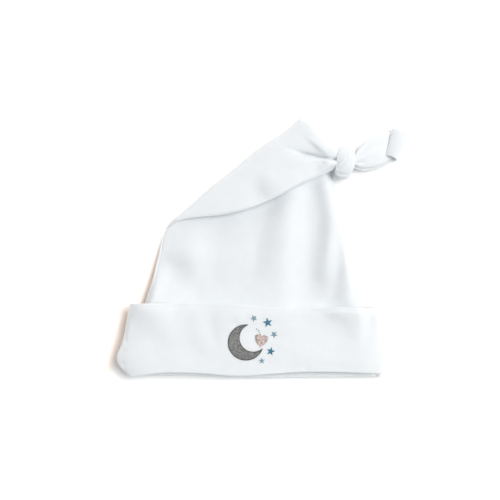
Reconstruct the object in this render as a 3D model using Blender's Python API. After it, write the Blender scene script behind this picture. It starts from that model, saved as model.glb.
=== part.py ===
"""Knotted baby hat in jersey cloth, lying flat with its tip folded over the front.

Units: the tables below are in millimetres, the model is in metres. +Z is up, the hat lies on Z = 0,
+Y runs from the brim towards the fold and +X towards the knot. The origin is the middle of the
footprint, on the surface that the hat lies on.

The soft forms are lofts. A section stands on a chord, which runs from its left to its right end in
plan, and has a front wall over the chord and a back wall under it. The crown is first worked out as
a long cone lying flat, and then its upper part is turned over a diagonal fold.
"""
import math

import bmesh
import bpy
import numpy as np

MM = 0.001

# Cloth
CROWN_WALL = 1.2
CUFF_WALL = 1.4
RETURN_WALL = 1.0
TAIL_WALL = 1.2
GAP = 0.3

# Brim and cuff: how far the cuff's round side edges reach, and the share of its height at which
# the seam between its front and back layers lies
CUFF_TOP_Y = -36.3
CUFF_HEIGHT = 14.6
CUFF_SEAM = 0.3
CUFF_REACH_FRONT = 8.0
CUFF_REACH_BACK = 5.0
HEM_START_Y = -70.0
HEM_DEEP = 12.0
# The front comes down towards the bottom fold by this share of its height
HEM_DROP = 0.055
HEM_DROP_TOP = -38.0
HEM_DROP_REACH = 46.0
# The cuff's rings along Y: up its outside, round the rolled top, down its inside, over to the
# crown's brim, up and down the short return inside the crown, and round the bottom fold
OUTSIDE_Y = (-82.0, -76.0, -66.0, -56.0, -46.0, -38.2)
ROLL_Y = -36.8
ROLL_BULGE = 0.7
ROLL_TOP_INSET = 0.4
INSIDE_Y = (-38.2, -57.0, -72.0, -79.6)
CROSSING_Y = -81.0
RETURN_UP_Y = (-79.8, -72.0, -68.0)
RETURN_DOWN_Y = (-68.6, -80.6)
TURN_Y = -82.2
TURN_INSET = 0.4
HEM_Y = -83.0
HEM_INSET = 0.8

# Crown: how thick it lies at the brim and where it is folded
CUFF_SLACK = 0.5
OPEN_HEIGHT = CUFF_HEIGHT - CUFF_WALL - GAP - CUFF_SLACK
SHOULDER_DROP = 3.8
SHOULDER_LENGTH = 90.0
FOLDED_HEIGHT = 3.8
HEIGHT_RISE = 43.0
PRESS_DEPTH = 3.2
PRESS_REACH = 17.0
PRESS_CENTRE = (49.0, 53.0)
# The back wall climbs from the surface on to the cuff's back, this far above the cuff's top
CLIMB_START = 8.0
CLIMB_REACH = 6.0

# Crown's round side edges: how far they reach on the front and back walls, before the fold and past
# it, and the share of the height at which the seam lies, before the fold and past it
FRONT_REACH = 10.0
BACK_REACH = 4.5
TURNED_FRONT_REACH = 5.0
TURNED_BACK_REACH = 12.0
TURNED_AFTER = 20.0
CROWN_SEAM = 0.33
TURNED_SEAM = 0.5
SEAM_SHIFT_REACH = 10.0

# Fold: the diagonal over which the tip is turned, as the two ends of the fold's outer edge
FOLD_START = (-57.6, 17.7)
FOLD_END = (28.2, 85.2)
FOLD_CENTRE_Z = 4.25
# The turned part rises from the fold by this much, over this reach
FOLD_RISE = 1.3
FOLD_RISE_REACH = 13.0
FLAP_PUFF = 2.2
FLAP_PUFF_REACH = 26.0
NECK_FRONT = 0.9
NECK_BACK = 2.6
# The turned part lies on the thick front at its left and comes down to the knot at its right
LIFT_END_X = 12.0
LIFT_REACH = 34.0

# Points of a ring: steps round each side edge and across each wall. The crown's last rings, where
# its cloth is gathered into the knot, have no inner skin.
ARC_STEPS = 4
FLAT_STEPS = 19
SOLID_RINGS = 3

# Finish
COTTON = (0.905, 0.915, 0.925)
ROUGHNESS = 0.9

# The crown as an unfolded cone: a row for each section from the brim to the knot, how far it is
# gathered, and in how many steps it is skinned to the next. The sections fan round until they run
# along the fold, and back again to the neck.
CROWN_COLUMNS = ("left_x", "left_y", "right_x", "right_y", "gather", "steps")
CROWN_SECTIONS = (
    (-89.6, -83.0, 79.4, -83.0, 0.0, 0),
    (-87.6, -76.0, 78.2, -76.0, 0.0, 2),
    (-80.6, -55.0, 73.2, -55.0, 0.0, 2),
    (-74.7, -36.0, 67.9, -36.0, 0.0, 1),
    (-72.4, -28.5, 64.8, -23.0, 0.0, 1),
    (-70.0, -20.6, 60.8, -4.5, 0.0, 1),
    (-67.4, -12.0, 55.8, 17.4, 0.0, 2),
    (-64.8, -4.0, 49.4, 42.6, 0.0, 2),
    (-62.9, 1.8, 41.2, 61.8, 0.0, 2),
    (-61.4, 6.3, 32.0, 78.2, 0.0, 2),
    (-57.6, 17.7, 28.4, 85.4, 0.0, 5),
    (-53.1, 30.2, 26.2, 92.2, 0.0, 5),
    (-47.2, 47.0, 24.4, 95.7, 0.05, 2),
    (-39.2, 63.3, 22.4, 99.3, 0.15, 2),
    (-29.6, 77.3, 20.6, 102.3, 0.35, 2),
    (-19.6, 89.2, 18.9, 105.1, 0.6, 2),
    (-11.0, 99.8, 17.4, 108.2, 0.82, 2),
    (-2.8, 110.2, 15.9, 111.4, 1.0, 2),
)

# The outside of the cuff, from its bottom fold to its rolled top
CUFF_COLUMNS = ("y", "left", "right")
CUFF_SECTIONS = (
    (-83.2, -90.5, 81.6),
    (-78.0, -94.4, 82.4),
    (-71.0, -94.8, 82.6),
    (-60.0, -90.4, 81.8),
    (-48.0, -86.6, 79.8),
    (-36.0, -84.2, 78.0),
)

# How far the bottom fold's front and back edges stray from the straight, along the brim
HEM_COLUMNS = ("x", "front", "back")
HEM_SECTIONS = (
    (-95.0, 1.0, 0.6),
    (-80.0, -0.4, -1.2),
    (-70.0, 1.2, -0.8),
    (-40.0, 1.4, -0.9),
    (-15.0, -0.4, -2.2),
    (12.0, 1.2, -1.9),
    (40.0, 2.4, -1.0),
    (83.0, 1.0, -1.3),
)

# How far the cuff's rolled top strays from the straight, along the brim, and where on the cuff
# that begins
TOP_COLUMNS = ("x", "stray")
TOP_SECTIONS = (
    (-95.0, 0.0),
    (-40.0, 0.3),
    (-20.0, 0.0),
    (8.0, -2.4),
    (33.0, -2.8),
    (53.0, -2.2),
    (80.0, -3.2),
)
TOP_STRAY_START = -60.0
TOP_STRAY_REACH = 20.0

# Folds and dents: start, bend and end of the line, half width and depth
FOLD_COLUMNS = ("start_x", "start_y", "bend_x", "bend_y", "end_x", "end_y", "width", "depth")
FOLD_POINTS = 17
END_FADE = 2.0
EDGE_FADE = 9.0
FRONT_FOLDS = {
    "side_valley": (35.0, 40.0, 36.5, 8.0, 29.5, -30.0, 9.0, 2.7),
    "right_valley": (53.0, -2.0, 53.4, -18.0, 49.0, -35.0, 4.0, 1.5),
    "side_ridge": (44.0, 42.0, 53.0, 9.0, 43.0, -22.0, 7.0, -2.4),
    "right_ridge": (58.0, 2.0, 59.0, -18.0, 60.6, -36.0, 6.0, -2.6),
    "middle_valley": (6.0, 29.8, -2.3, 9.0, -4.3, -16.0, 9.0, 1.8),
    "middle_ridge": (24.0, 33.4, 16.0, 8.3, 17.0, -20.8, 7.4, -1.6),
    "centre_hollow": (-26.0, -15.0, -24.0, -21.0, -23.0, -28.0, 9.0, 2.4),
    "low_hollow": (33.0, -16.0, 40.0, -24.0, 42.0, -31.0, 7.5, 2.0),
    "left_valley": (-65.0, -8.0, -56.5, -18.4, -43.6, -25.4, 9.0, 2.4),
    "left_swell": (-74.0, -44.0, -71.0, -28.0, -68.6, -16.4, 7.5, -2.4),
    "cuff_left_swell": (-76.0, -38.0, -68.0, -42.0, -58.0, -47.0, 8.0, -0.8),
    "cuff_right_swell": (56.0, -38.0, 66.0, -42.0, 71.0, -46.0, 7.0, -1.8),
    "cuff_left_dent": (-78.0, -44.0, -72.0, -49.0, -62.0, -54.0, 6.0, 1.2),
    "cuff_middle_dent": (-28.4, -45.0, -28.0, -50.0, -26.5, -57.0, 4.2, 0.7),
    "cuff_right_dent": (41.0, -43.0, 55.0, -44.0, 58.5, -56.0, 5.2, 1.2),
}
FLAP_FOLDS = {
    "upper_crease": (22.0, 80.0, 38.0, 66.0, 50.0, 58.6, 2.6, 1.5),
    "main_crease": (13.0, 66.5, 30.0, 61.0, 50.5, 57.4, 2.4, 2.6),
    "soft_hollow": (0.0, 51.0, 1.5, 44.0, 6.0, 36.0, 5.5, 1.1),
}

# Where the folds fade out: this far before the main fold's axis, and this far from it on the flap
FRONT_FOLDS_END = 6.0
FRONT_FOLDS_REACH = 22.0
FLAP_FOLDS_END = 3.0
FLAP_FOLDS_REACH = 16.0

# The knot: sections across it from the crown's neck to the tail, with their thickness
KNOT_COLUMNS = ("left_x", "left_y", "right_x", "right_y", "thick", "middle_z")
KNOT_SECTIONS = (
    (45.9, 49.2, 51.9, 66.0, 9.6, 8.4),
    (45.7, 46.6, 53.2, 66.6, 13.0, 7.9),
    (48.8, 44.2, 55.6, 67.0, 15.4, 7.7),
    (52.4, 43.8, 58.0, 66.7, 15.8, 7.7),
    (57.2, 44.6, 60.6, 65.4, 14.8, 7.4),
    (61.2, 47.4, 62.6, 63.4, 11.6, 7.0),
    (63.0, 50.2, 63.4, 61.6, 8.6, 6.8),
)
KNOT_RINGS = 17
KNOT_AROUND = 26
# Grooves that part the knot's wraps: place along the knot, slant round it, half width and depth
WRAP_COLUMNS = ("place", "slant", "width", "depth")
WRAP_GROOVES = (
    (0.24, 0.15, 0.05, 1.0),
    (0.74, 0.16, 0.05, 0.7),
)

# The tail: sections across it from the knot to its rolled end
TAIL_COLUMNS = ("left_x", "left_y", "right_x", "right_y", "thick", "middle_z")
TAIL_SECTIONS = (
    (64.0, 50.6, 64.0, 62.4, 8.0, 6.6),
    (68.4, 50.2, 67.8, 67.4, 7.6, 5.6),
    (75.6, 51.0, 74.4, 72.2, 7.2, 4.6),
    (82.8, 53.0, 80.6, 75.2, 6.2, 3.9),
    (86.4, 55.0, 85.0, 76.6, 4.6, 3.3),
    (88.6, 56.6, 87.6, 77.0, 4.4, 3.2),
    (91.2, 58.8, 91.6, 77.4, 6.4, 3.6),
    (94.0, 63.4, 94.6, 76.4, 5.6, 3.4),
    (95.0, 67.0, 95.6, 74.6, 2.8, 3.0),
)
TAIL_RINGS = 17
TAIL_AROUND = 20
# The tail is hollow over its first sections, up to its rolled end
HOLLOW_SECTIONS = 4
HOLLOW_RINGS = 6


def smooth(t):
    """Ease from 0 to 1 as t does."""
    t = np.clip(t, 0.0, 1.0)
    return t * t * (3.0 - 2.0 * t)


def round_edge(distance, reach):
    """Rise from 0 at an edge to 1 at its reach, as a quarter ellipse."""
    t = np.clip(distance / reach, 0.0, 1.0)
    return np.sqrt(1.0 - (1.0 - t) ** 2)


def column(rows, columns, name):
    """One named column of a table."""
    return np.array([row[columns.index(name)] for row in rows])


def curve(places, values, at):
    """A smooth curve through the values given at rising places."""
    slopes = np.gradient(values, places)
    at = np.clip(at, places[0], places[-1])
    i = np.clip(np.searchsorted(places, at) - 1, 0, len(places) - 2)
    step = places[i + 1] - places[i]
    t = (at - places[i]) / step
    rise = t * t * (3.0 - 2.0 * t)
    start_pull = t * (1.0 - t) ** 2 * step * slopes[i]
    end_pull = t * t * (t - 1.0) * step * slopes[i + 1]
    return values[i] * (1.0 - rise) + values[i + 1] * rise + start_pull + end_pull


def hem_stray(x, y, side):
    """How far a wall near the bottom fold is moved along Y, so that the fold runs unevenly."""
    stray = curve(column(HEM_SECTIONS, HEM_COLUMNS, "x"), column(HEM_SECTIONS, HEM_COLUMNS, side), x)
    return stray * smooth((HEM_START_Y - y) / HEM_DEEP)


def top_stray(x, y):
    """How far the cuff is moved along Y near its rolled top, so that the roll runs unevenly."""
    stray = curve(column(TOP_SECTIONS, TOP_COLUMNS, "x"), column(TOP_SECTIONS, TOP_COLUMNS, "stray"), x)
    return stray * smooth((y - TOP_STRAY_START) / TOP_STRAY_REACH)


def kept_height(y):
    """Share of its full height that the front keeps on its way down to the bottom fold."""
    return 1.0 - HEM_DROP * np.clip((HEM_DROP_TOP - y) / HEM_DROP_REACH, 0.0, 1.0)


def fold_direction():
    """Unit vector along the fold."""
    along = np.array(FOLD_END) - np.array(FOLD_START)
    return along / np.linalg.norm(along)


def past_fold(x, y):
    """How far a plan point lies past the fold's axis, which is inside the fold's outer edge."""
    along = fold_direction()
    return (y - FOLD_START[1]) * along[0] - (x - FOLD_START[0]) * along[1] + FOLD_CENTRE_Z


def front_height(x, y):
    """Height of the front wall over the surface that the hat lies on, away from its edges."""
    open_height = OPEN_HEIGHT - SHOULDER_DROP * smooth((y - CUFF_TOP_Y) / SHOULDER_LENGTH)
    height = FOLDED_HEIGHT + (open_height - FOLDED_HEIGHT) * smooth(-past_fold(x, y) / HEIGHT_RISE)
    height = height * kept_height(y)
    away = ((x - PRESS_CENTRE[0]) ** 2 + (y - PRESS_CENTRE[1]) ** 2) / PRESS_REACH ** 2
    return height - np.where(past_fold(x, y) < 0.0, PRESS_DEPTH * np.exp(-away), 0.0)


def back_height(x, y):
    """Height of the back wall, which lies on the surface above the cuff and on the cuff inside it."""
    on_cuff = (CUFF_WALL + GAP) * smooth((CUFF_TOP_Y + CLIMB_START - y) / CLIMB_REACH)
    turned = past_fold(x, y) - FOLD_CENTRE_Z
    return on_cuff - FLAP_PUFF * smooth(turned / FLAP_PUFF_REACH)


def fold_depth(folds, x, y):
    """Depth of the listed folds and dents at plan points."""
    depth = np.zeros_like(x)
    for row in folds.values():
        fold = dict(zip(FOLD_COLUMNS, row))
        t = np.linspace(0.0, 1.0, FOLD_POINTS)
        line_x, line_y = [(1.0 - t) ** 2 * fold["start_" + axis]
                          + 2.0 * t * (1.0 - t) * fold["bend_" + axis]
                          + t * t * fold["end_" + axis] for axis in ("x", "y")]
        away = np.full_like(x, np.inf)
        for point_x, point_y, place in zip(line_x, line_y, t):
            fade = 1.0 + END_FADE * (place - 0.5) ** 2
            away = np.minimum(away, ((x - point_x) ** 2 + (y - point_y) ** 2) * fade)
        depth = depth + fold["depth"] * np.exp(-away / fold["width"] ** 2)
    return depth


def chord_samples(length, left_reach, right_reach, arc_steps, flat_steps):
    """Distances along a chord: close together in the round edges and even between them."""
    turn = 1.0 - np.cos(np.linspace(0.0, math.pi / 2.0, arc_steps + 1))
    left = left_reach * turn
    right = length - right_reach * turn[::-1]
    middle = np.linspace(left[-1], right[0], flat_steps + 1)[1:-1]
    return np.concatenate([left, middle, right])


def crown_places():
    """How far along the crown each section of its table stands."""
    left = np.stack([column(CROWN_SECTIONS, CROWN_COLUMNS, name) for name in ("left_x", "left_y")])
    right = np.stack([column(CROWN_SECTIONS, CROWN_COLUMNS, name) for name in ("right_x", "right_y")])
    gaps = [np.linalg.norm(np.diff(end, axis=1), axis=0) for end in (left, right)]
    return np.concatenate([[0.0], np.cumsum(0.5 * (gaps[0] + gaps[1]))])


def crown_ring(place, inset, arc_steps, flat_steps):
    """One closed ring of the unfolded crown: left edge, front, right edge, back."""
    ends = {name: float(curve(crown_places(), column(CROWN_SECTIONS, CROWN_COLUMNS, name), place))
            for name in CROWN_COLUMNS}
    left = np.array([ends["left_x"], ends["left_y"]])
    right = np.array([ends["right_x"], ends["right_y"]])
    along = (right - left) / np.linalg.norm(right - left)
    left = left + along * inset
    right = right - along * inset
    length = float(np.linalg.norm(right - left))
    turned = smooth(past_fold(np.array([left[0], right[0]]), np.array([left[1], right[1]])) / TURNED_AFTER)
    points = []
    for is_front, flat_reach, turned_reach in ((True, FRONT_REACH, TURNED_FRONT_REACH),
                                               (False, BACK_REACH, TURNED_BACK_REACH)):
        reach = np.minimum(flat_reach + (turned_reach - flat_reach) * turned - inset, 0.5 * length)
        d = chord_samples(length, reach[0], reach[1], arc_steps, flat_steps)
        x = left[0] + along[0] * d
        y = left[1] + along[1] * d
        y = y + hem_stray(x, y, "front" if is_front else "back")
        front = front_height(x, y) + NECK_FRONT * ends["gather"] - inset
        back = back_height(x, y) - NECK_BACK * ends["gather"] + inset
        share = CROWN_SEAM + (TURNED_SEAM - CROWN_SEAM) * smooth(past_fold(x, y) / SEAM_SHIFT_REACH)
        middle = (back - inset) + share * (front - back + 2.0 * inset)
        rise = round_edge(d, reach[0]) * round_edge(length - d, reach[1])
        z = middle + ((front if is_front else back) - middle) * rise
        inside = smooth(np.minimum(d, length - d) / EDGE_FADE)
        ring = np.stack([x, y, z, inside, np.full_like(x, float(is_front))], axis=1)
        points.append(ring if is_front else ring[::-1][1:-1])
    return np.concatenate(points)


def turn_over_fold(ring):
    """Turn what lies past the fold over onto the front, and add the folds and dents."""
    x, y, z, inside, is_front = ring.T
    along = fold_direction()
    outward = np.array([-along[1], along[0]])
    past = past_fold(x, y)
    roll = 2.0 * FOLD_CENTRE_Z
    angle = math.pi * np.clip(past / roll, 0.0, 1.0)
    radius = FOLD_CENTRE_Z - z
    turned_past = np.where(past < roll, radius * np.sin(angle), roll - past)
    turned_z = FOLD_CENTRE_Z - radius * np.cos(angle)
    shift = np.where(past > 0.0, turned_past - past, 0.0)
    x = x + shift * outward[0]
    y = y + shift * outward[1]
    z = np.where(past > 0.0, turned_z, z)
    over = smooth(2.0 * angle / math.pi - 1.0)
    lift = (front_height(x, y) - FOLDED_HEIGHT) * (1.0 - smooth((x - LIFT_END_X) / LIFT_REACH))
    from_edge = FOLD_CENTRE_Z - past_fold(x, y)
    z = z + over * (lift + FOLD_RISE * smooth(from_edge / FOLD_RISE_REACH))
    before = smooth((-FRONT_FOLDS_END - past) / FRONT_FOLDS_REACH)
    z = z - inside * is_front * before * fold_depth(FRONT_FOLDS, x, y)
    room = over * smooth((-FLAP_FOLDS_END - past_fold(x, y)) / FLAP_FOLDS_REACH)
    z = z - inside * (1.0 - is_front) * room * fold_depth(FLAP_FOLDS, x, y)
    return np.stack([x, y, z], axis=1)


def add_rings(mesh, rings):
    """Add closed rings of points to a mesh and skin each to the next. Returns the rings' vertices."""
    made = [[mesh.verts.new(point * MM) for point in ring] for ring in rings]
    for ring, following in zip(made[:-1], made[1:]):
        skin(mesh, ring, following)
    return made


def skin(mesh, ring, following):
    """Faces between two closed rings of equal count."""
    count = len(ring)
    for i in range(count):
        j = (i + 1) % count
        mesh.faces.new((ring[i], ring[j], following[j], following[i]))


def new_object(name, mesh):
    """Turn a finished bmesh into an object with its own white cotton."""
    bmesh.ops.recalc_face_normals(mesh, faces=mesh.faces)
    data = bpy.data.meshes.new(name)
    mesh.to_mesh(data)
    mesh.free()
    data.shade_smooth()
    data.set_sharp_from_angle(angle=math.radians(60.0))
    material = bpy.data.materials.new(name)
    material.use_nodes = True
    shader = material.node_tree.nodes["Principled BSDF"]
    shader.inputs["Base Color"].default_value = (*COTTON, 1.0)
    shader.inputs["Roughness"].default_value = ROUGHNESS
    shader.inputs["Metallic"].default_value = 0.0
    data.materials.append(material)
    made = bpy.data.objects.new(name, data)
    bpy.context.scene.collection.objects.link(made)
    return made


def crown():
    """The hat's soft body: an outer and an inner skin, open at the brim and closed in the neck."""
    places = crown_places()
    steps = column(CROWN_SECTIONS, CROWN_COLUMNS, "steps")
    outer_places = np.concatenate([np.linspace(places[i], places[i + 1], steps[i + 1] + 1)[1:]
                                   for i in range(1, len(places) - 1)])
    outer_places = np.concatenate([[places[1]], outer_places])
    inner_places = outer_places[:-SOLID_RINGS]
    mesh = bmesh.new()
    outer = add_rings(mesh, [turn_over_fold(crown_ring(place, 0.0, ARC_STEPS, FLAT_STEPS))
                             for place in outer_places])
    inner = add_rings(mesh, [turn_over_fold(crown_ring(place, CROWN_WALL, ARC_STEPS, FLAT_STEPS))
                             for place in inner_places])
    skin(mesh, outer[0], inner[0])
    mesh.faces.new(outer[-1])
    mesh.faces.new(inner[-1])
    return new_object("crown", mesh)


def cuff_ring(y, inset, arc_steps, flat_steps):
    """One closed ring of the cuff, inset from its outside."""
    rows_y = column(CUFF_SECTIONS, CUFF_COLUMNS, "y")
    left = float(curve(rows_y, column(CUFF_SECTIONS, CUFF_COLUMNS, "left"), y)) + inset
    right = float(curve(rows_y, column(CUFF_SECTIONS, CUFF_COLUMNS, "right"), y)) - inset
    length = right - left
    points = []
    for side, reach in (("front", CUFF_REACH_FRONT - inset), ("back", CUFF_REACH_BACK - inset)):
        d = chord_samples(length, reach, reach, arc_steps, flat_steps)
        x = left + d
        rise = round_edge(d, reach) * round_edge(length - d, reach)
        middle = np.full_like(x, CUFF_SEAM * CUFF_HEIGHT)
        top = CUFF_HEIGHT * kept_height(y) - inset if side == "front" else inset
        inside = smooth(np.minimum(d, length - d) / EDGE_FADE)
        is_front = float(side == "front")
        ring_y = y + hem_stray(x, y, side) + top_stray(x, y)
        z = middle + (top - middle) * rise
        z = z - inside * is_front * fold_depth(FRONT_FOLDS, x, ring_y)
        ring = np.stack([x, ring_y, z], axis=1)
        points.append(ring if side == "front" else ring[::-1][1:-1])
    ring = np.concatenate(points)
    ring[:, 2] = np.maximum(ring[:, 2], 0.0)
    return ring


def return_ring(y, inset, arc_steps, flat_steps):
    """One closed ring of the cuff's short inner return, inset from the crown's outside."""
    place = np.interp(y, column(CROWN_SECTIONS, CROWN_COLUMNS, "left_y"), crown_places())
    return turn_over_fold(crown_ring(place, inset, arc_steps, flat_steps))


def cuff():
    """The turned-up band: outer wall with a rolled top, bottom fold, and return inside the crown."""
    steps = (ARC_STEPS, FLAT_STEPS)
    return_out = CROWN_WALL + GAP
    return_in = return_out + RETURN_WALL
    rings = [cuff_ring(y, 0.0, *steps) for y in OUTSIDE_Y]
    rings.append(cuff_ring(ROLL_Y, -ROLL_BULGE, *steps))
    rings.append(cuff_ring(CUFF_TOP_Y, ROLL_TOP_INSET, *steps))
    rings += [cuff_ring(y, CUFF_WALL, *steps) for y in INSIDE_Y]
    crossing = (cuff_ring(CROSSING_Y, CUFF_WALL, *steps), return_ring(CROSSING_Y, return_out, *steps))
    rings.append(0.5 * (crossing[0] + crossing[1]))
    rings += [return_ring(y, return_out, *steps) for y in RETURN_UP_Y]
    rings += [return_ring(y, return_in, *steps) for y in RETURN_DOWN_Y]
    rings.append(return_ring(TURN_Y, return_in - TURN_INSET, *steps))
    rings.append(cuff_ring(HEM_Y, HEM_INSET, *steps))
    mesh = bmesh.new()
    made = add_rings(mesh, rings)
    skin(mesh, made[-1], made[0])
    return new_object("cuff", mesh)


def chord_loft(rows, columns, ring_count, around, inset=0.0, groove=None):
    """Elliptical rings on chords read along a table of sections."""
    rings = []
    places = np.arange(len(rows), dtype=float)
    last = len(rows) - 1
    for place in np.linspace(0.0, last, ring_count):
        row = {name: float(curve(places, column(rows, columns, name), place)) for name in columns}
        left = np.array([row["left_x"], row["left_y"]])
        right = np.array([row["right_x"], row["right_y"]])
        centre = 0.5 * (left + right)
        half = 0.5 * (right - left)
        half = half * (1.0 - inset / np.linalg.norm(half))
        angle = np.linspace(0.0, 2.0 * math.pi, around, endpoint=False)
        depth = groove(place / last, angle) if groove else np.zeros_like(angle)
        shrink = 1.0 - depth / (0.5 * row["thick"])
        x = centre[0] - half[0] * np.cos(angle) * shrink
        y = centre[1] - half[1] * np.cos(angle) * shrink
        z = row["middle_z"] + (0.5 * row["thick"] - inset) * np.sin(angle) * shrink
        rings.append(np.stack([x, y, np.maximum(z, inset)], axis=1))
    return rings


def wrap_groove(place, angle):
    """Depth of the grooves between the knot's wraps, at a place along it and angles round it."""
    depth = np.zeros_like(angle)
    for row in WRAP_GROOVES:
        groove = dict(zip(WRAP_COLUMNS, row))
        line = groove["place"] + groove["slant"] * np.cos(angle)
        depth = depth + groove["depth"] * np.exp(-((place - line) / groove["width"]) ** 2)
    return depth


def knot():
    """The knot: a barrel of wrapped cloth with grooves between its wraps."""
    mesh = bmesh.new()
    rings = add_rings(mesh, chord_loft(KNOT_SECTIONS, KNOT_COLUMNS, KNOT_RINGS, KNOT_AROUND,
                                       groove=wrap_groove))
    mesh.faces.new(rings[0])
    mesh.faces.new(rings[-1])
    return new_object("knot", mesh)


def tail():
    """The tip's free end: a flattened tube, open towards the knot, with a rolled end."""
    mesh = bmesh.new()
    outer = add_rings(mesh, chord_loft(TAIL_SECTIONS, TAIL_COLUMNS, TAIL_RINGS, TAIL_AROUND))
    inner = add_rings(mesh, chord_loft(TAIL_SECTIONS[:HOLLOW_SECTIONS], TAIL_COLUMNS, HOLLOW_RINGS,
                                       TAIL_AROUND, inset=TAIL_WALL))
    skin(mesh, outer[0], inner[0])
    mesh.faces.new(outer[-1])
    mesh.faces.new(inner[-1])
    return new_object("tail", mesh)


def main():
    for old in list(bpy.data.objects):
        bpy.data.objects.remove(old, do_unlink=True)
    hat = bpy.data.objects.new("hat", None)
    bpy.context.scene.collection.objects.link(hat)
    for piece in (crown(), cuff(), knot(), tail()):
        piece.parent = hat


main()
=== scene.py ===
"""Knotted baby hat in white cotton interlock, lying flat: its finished surfaces, light and camera.

Units: tables and shapes are in millimetres and become metres as a mesh is made. +Z is up, the hat
lies on Z = 0, +Y runs from the brim towards the fold and +X towards the knot.

Each soft piece is a grid of points. The crown is a loft of sections that stand on chords: a front
wall over the chord and a back wall under it, with a side seam where they meet. It is a long cone
lying flat, whose upper part is then turned over a diagonal fold. Strokes add the folds, creases and
dents. A zone is where a shape fades in: the value at which it starts, and how far on it is full.
"""

import math

import bmesh
import bpy
import numpy as np
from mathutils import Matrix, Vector
from mathutils.bvhtree import BVHTree


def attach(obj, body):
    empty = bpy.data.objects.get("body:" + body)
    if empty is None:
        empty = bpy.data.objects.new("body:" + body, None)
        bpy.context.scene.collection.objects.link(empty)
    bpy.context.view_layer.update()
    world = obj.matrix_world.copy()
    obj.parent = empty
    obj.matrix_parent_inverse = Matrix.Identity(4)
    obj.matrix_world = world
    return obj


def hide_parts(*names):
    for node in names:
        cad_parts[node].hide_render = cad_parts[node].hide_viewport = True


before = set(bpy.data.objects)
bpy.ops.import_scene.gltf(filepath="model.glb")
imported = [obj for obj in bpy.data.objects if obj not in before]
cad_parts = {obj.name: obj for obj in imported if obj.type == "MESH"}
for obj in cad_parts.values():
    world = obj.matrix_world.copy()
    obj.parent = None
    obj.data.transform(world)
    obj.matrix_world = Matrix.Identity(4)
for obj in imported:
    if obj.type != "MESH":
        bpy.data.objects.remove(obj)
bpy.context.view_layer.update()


def table(names, *rows):
    """The columns of a table, each by its name."""
    return dict(zip(names.split(), np.array(rows, float).T))


MM = 0.001
TINY = 1e-9
TURN = 2 * math.pi

# Cloth
CROWN_WALL = 1.1
CUFF_WALL = 1.5
TAIL_WALL = 1.1
GAP = 0.3
EDGE_ZONE = (0, 5)

# Side seams: the groove between the front and back layers, and the line inside the left outline of
# the crown and the cuff, where the back layer rolls up round the edge. On the left of the tail the
# lower layer shows past the upper one.
SEAM_DEPTH = 1.3
SEAM_WIDTH = 0.7
SEAM_REACH = 2
ROLLED_DEPTH = 1
ROLLED_WIDTH = 0.42
CROWN_ROLLED = 1.75
CUFF_ROLLED = 0.9
TAIL_PEEK = 1.9

# Steps of each piece's grid: over a round edge and over the flat between its edges
CROWN_STEPS = (14, 130)
CUFF_STEPS = (14, 110)
TAIL_STEPS = (10, 40)
ARC_CROWDING = 1.35

# Brim and cuff
CUFF_TOP_Y = -36.3
CUFF_BEND_Y = -38
CUFF_ROLL = 0.8
TOP_ROLL_STEPS = 7
CUFF_HEIGHT = 14.6
CUFF_MIDDLE = 0.3
CUFF_REACHES = {"front": (2, 3.2), "back": (4, 4)}
HEM_LINE = -82.5
HEM_ROLL = 1
HEM_POWER = 0.7
HEM_ROLL_STEPS = 10
OUTER_LEVELS = (HEM_LINE, CUFF_BEND_Y, 60)
INNER_LEVELS = (-38.2, -79.6, 20)
HEM_INSIDE_Y = -81
RETURN_OUT_LEVELS = (-79.8, -76, -72, -68)
RETURN_IN_LEVELS = (-68.6, -74, -80.6)
RETURN_WALL = 1
# How much lower the front lies at its left and right edge and at the bottom fold
CROWN_EDGE_DROPS = (0.16, 0.34)
CUFF_EDGE_DROPS = (0.2, 0.26)
EDGE_DROP_REACH = 15
HEM_DROP = 0.2
HEM_DROP_TOP = -38
HEM_DROP_REACH = 46

# Crown: how thick it lies at the brim and where it is folded, how far its round edges reach in from
# the left and right, and where it is turned, and how high its seam stands
OPEN_HEIGHT = 12.2
SHOULDER_DROP = 3.8
SHOULDER_ZONE = (CUFF_TOP_Y, 90)
FOLDED_HEIGHT = 2.9
OPEN_ZONE = (0, 43)
CUFF_STEP_ZONE = (28.3, 6)
PRESS_DEPTH = 3.2
PRESS_REACH = 17
PRESS_CENTRE = (49, 53)
FRONT_REACHES = ((1.6, 3.6), 4)
BACK_REACHES = ((4, 4), 5)
TURNED_ZONE = (0, 20)
SEAM_SHARE = 0.33
SEAM_SHARE_TURNED = 0.17
SEAM_ZONE = (0, 10)

# Fold: the diagonal over which the tip is turned, from and to the ends of the fold's outer edge
FOLD_START = (-57.6, 17.7)
FOLD_END = (28.2, 85.2)
FOLD_ALONG = np.subtract(FOLD_END, FOLD_START) / math.dist(FOLD_START, FOLD_END)
FOLD_Z = 3.15
FOLD_POWER = 0.92
FOLD_RISE = 1.1
RISE_ZONE = (-FOLD_Z, 13)
OVER_ZONE = (0.5 * math.pi, 0.5 * math.pi)
LIFT_ZONE = (12, 34)
FLAP_PUFF = 2.6
PUFF_ZONE = (FOLD_Z, 26)
NECK_FRONT = 0.9
NECK_BACK = 2.6
NECK_SOLID = 10
# Where the creases of the front and of the turned part start, off the fold and off the cuff
CREASE_ZONE = (6, 22)
ABOVE_CUFF_ZONE = (CUFF_TOP_Y - 9, 12)
FLAP_ZONE = (3, 16)
# Rings from the brim to the fold, over the fold, and on to the knot, of each skin
OUTER_RINGS = (103, 30, 62)
INNER_RINGS = (42, 20, 22)
FOLD_ROW = 10
FOLD_CLOSE = 6

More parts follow.
